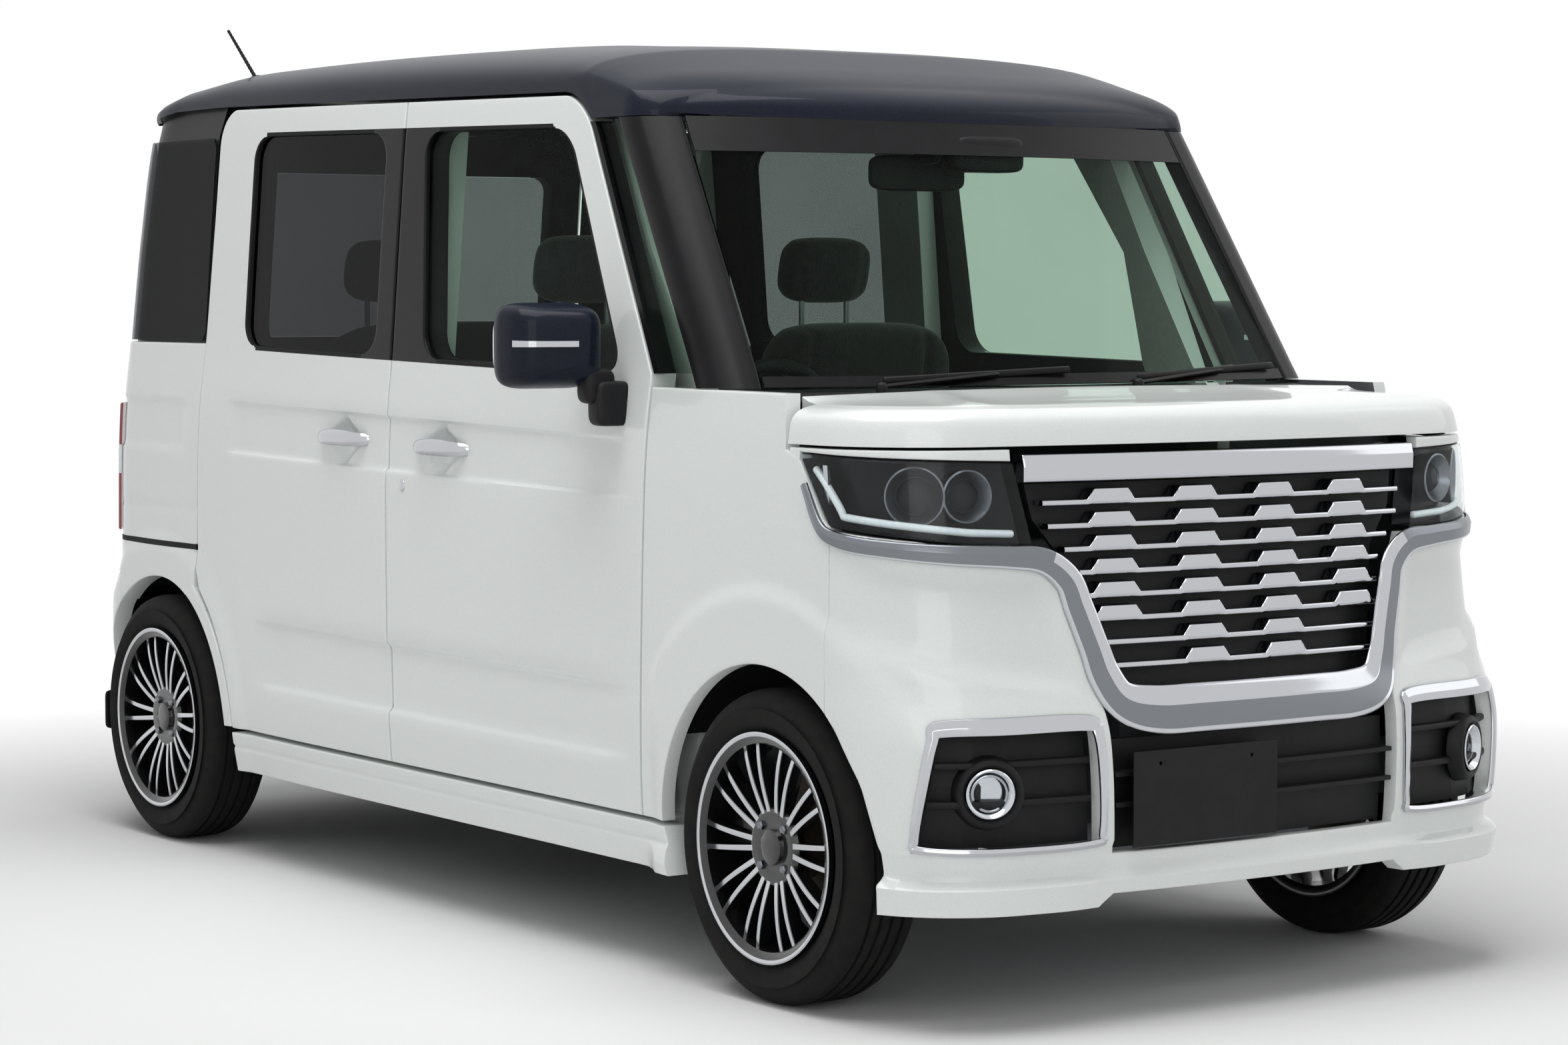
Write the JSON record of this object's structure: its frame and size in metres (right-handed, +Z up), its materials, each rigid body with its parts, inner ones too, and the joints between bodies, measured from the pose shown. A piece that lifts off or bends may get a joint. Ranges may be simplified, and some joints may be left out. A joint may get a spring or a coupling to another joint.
{
  "type": "tall microvan with sliding rear doors",
  "caption": "Boxy two-tone microvan with a chrome slatted grille, hinged front doors, bonnet and tailgate, steered front wheels and a hollow cabin with seats",
  "frame": {"origin": "on the ground under the middle of the car", "axes": "+X to the car's left, -Y to the nose, +Z up"},
  "size_m": [1.8098, 3.3981, 1.8821],
  "materials": {
    "white_paint": "pearl gloss",
    "blue_paint": "metallic gloss",
    "platform": "primer",
    "black_trim": "satin",
    "chrome_trim": "polished",
    "clear_glass": "clear",
    "privacy_glass": "dark",
    "lamp_lens": "clear",
    "red_lens": "gloss",
    "seat_fabric": "woven",
    "dash_plastic": "grained",
    "steel": "bare",
    "cast_metal": "cast",
    "tyre": "matte",
    "alloy": "machined and painted",
    "brake_iron": "turned"
  },
  "bodies": {
    "body": {"floor_pan": "platform", "body_sides": "white_paint", "roof_panel": "blue_paint", "cowl": "black_trim", "a_pillars": "black_trim", "fenders": "white_paint", "front_bumper": "white_paint", "rear_bumper": "white_paint", "grille_backing": "black_trim", "grille_bars": "chrome_trim", "grille_surround": "chrome_trim", "lower_intake": "black_trim", "front_plate": "black_trim", "fog_bezels": "chrome_trim", "front_lamps": "lamp_lens", "tail_lamps": "red_lens", "side_skirts": "white_paint", "front_glass": "clear_glass", "privacy_glass": "privacy_glass", "sliding_doors": "white_paint", "wipers": "black_trim", "antenna": "black_trim", "front_seats": "seat_fabric", "rear_bench": "seat_fabric", "dashboard": "dash_plastic", "engine": "cast_metal", "fuel_tank": "black_trim", "exhaust": "steel", "front_suspension": "steel", "rear_axle": "steel", "wheel_liners": "black_trim"},
    "bonnet": {"bonnet": "white_paint"},
    "door_left": {"door_left": "white_paint", "door_glass_left": "clear_glass", "mirror_left": "blue_paint"},
    "door_right": {"door_right": "white_paint", "door_glass_right": "clear_glass", "mirror_right": "blue_paint"},
    "tailgate": {"tailgate": "white_paint", "tailgate_glass": "privacy_glass"},
    "knuckle_left": {"knuckle_left": "cast_metal"},
    "knuckle_right": {"knuckle_right": "cast_metal"},
    "wheel_front_left": {"tyre_front_left": "tyre", "rim_front_left": "alloy", "hub_front_left": "brake_iron"},
    "wheel_front_right": {"tyre_front_right": "tyre", "rim_front_right": "alloy", "hub_front_right": "brake_iron"},
    "wheel_rear_left": {"tyre_rear_left": "tyre", "rim_rear_left": "alloy", "drum_rear_left": "brake_iron"},
    "wheel_rear_right": {"tyre_rear_right": "tyre", "rim_rear_right": "alloy", "drum_rear_right": "brake_iron"},
    "steering_wheel": {"steering_wheel": "dash_plastic"}
  },
  "joints": [
    {"name": "bonnet_hinge", "type": "hinge", "parent": "body", "child": "bonnet", "pos_m": [0, -1.2135, 1.069], "axis": [-1, 0, 0], "range_deg": [0, 50]},
    {"name": "door_left_hinge", "type": "hinge", "parent": "body", "child": "door_left", "pos_m": [0.71504, -0.7455, 0.697], "axis": [0, 0, -1], "range_deg": [0, 65]},
    {"name": "door_right_hinge", "type": "hinge", "parent": "body", "child": "door_right", "pos_m": [-0.71504, -0.7455, 0.697], "axis": [0, 0, 1], "range_deg": [0, 65]},
    {"name": "tailgate_hinge", "type": "hinge", "parent": "body", "child": "tailgate", "pos_m": [0, 1.5505, 1.678], "axis": [1, 0, 0], "range_deg": [0, 80]},
    {"name": "steer_left", "type": "hinge", "parent": "body", "child": "knuckle_left", "pos_m": [0.5595, -1.1875, 0.191], "axis": [-0.1132, 0, 0.9936], "range_deg": [-35, 35]},
    {"name": "steer_right", "type": "hinge", "parent": "body", "child": "knuckle_right", "pos_m": [-0.5595, -1.1875, 0.191], "axis": [0.1132, 0, 0.9936], "range_deg": [-35, 35]},
    {"name": "spin_front_left", "type": "hinge", "parent": "knuckle_left", "child": "wheel_front_left", "pos_m": [0.6475, -1.1875, 0.281], "axis": [1, 0, 0], "continuous": true},
    {"name": "spin_front_right", "type": "hinge", "parent": "knuckle_right", "child": "wheel_front_right", "pos_m": [-0.6475, -1.1875, 0.281], "axis": [1, 0, 0], "continuous": true},
    {"name": "spin_rear_left", "type": "hinge", "parent": "body", "child": "wheel_rear_left", "pos_m": [0.6475, 1.2725, 0.281], "axis": [1, 0, 0], "continuous": true},
    {"name": "spin_rear_right", "type": "hinge", "parent": "body", "child": "wheel_rear_right", "pos_m": [-0.6475, 1.2725, 0.281], "axis": [1, 0, 0], "continuous": true},
    {"name": "steering_turn", "type": "hinge", "parent": "body", "child": "steering_wheel", "pos_m": [-0.31, -0.5475, 0.956], "axis": [0, 0.9063, 0.4226], "range_deg": [-525, 525]}
  ],
  "couplings": [
    {"joint": "steer_right", "follows": "steer_left", "ratio": 1},
    {"joint": "steering_turn", "follows": "steer_left", "ratio": 15}
  ]
}
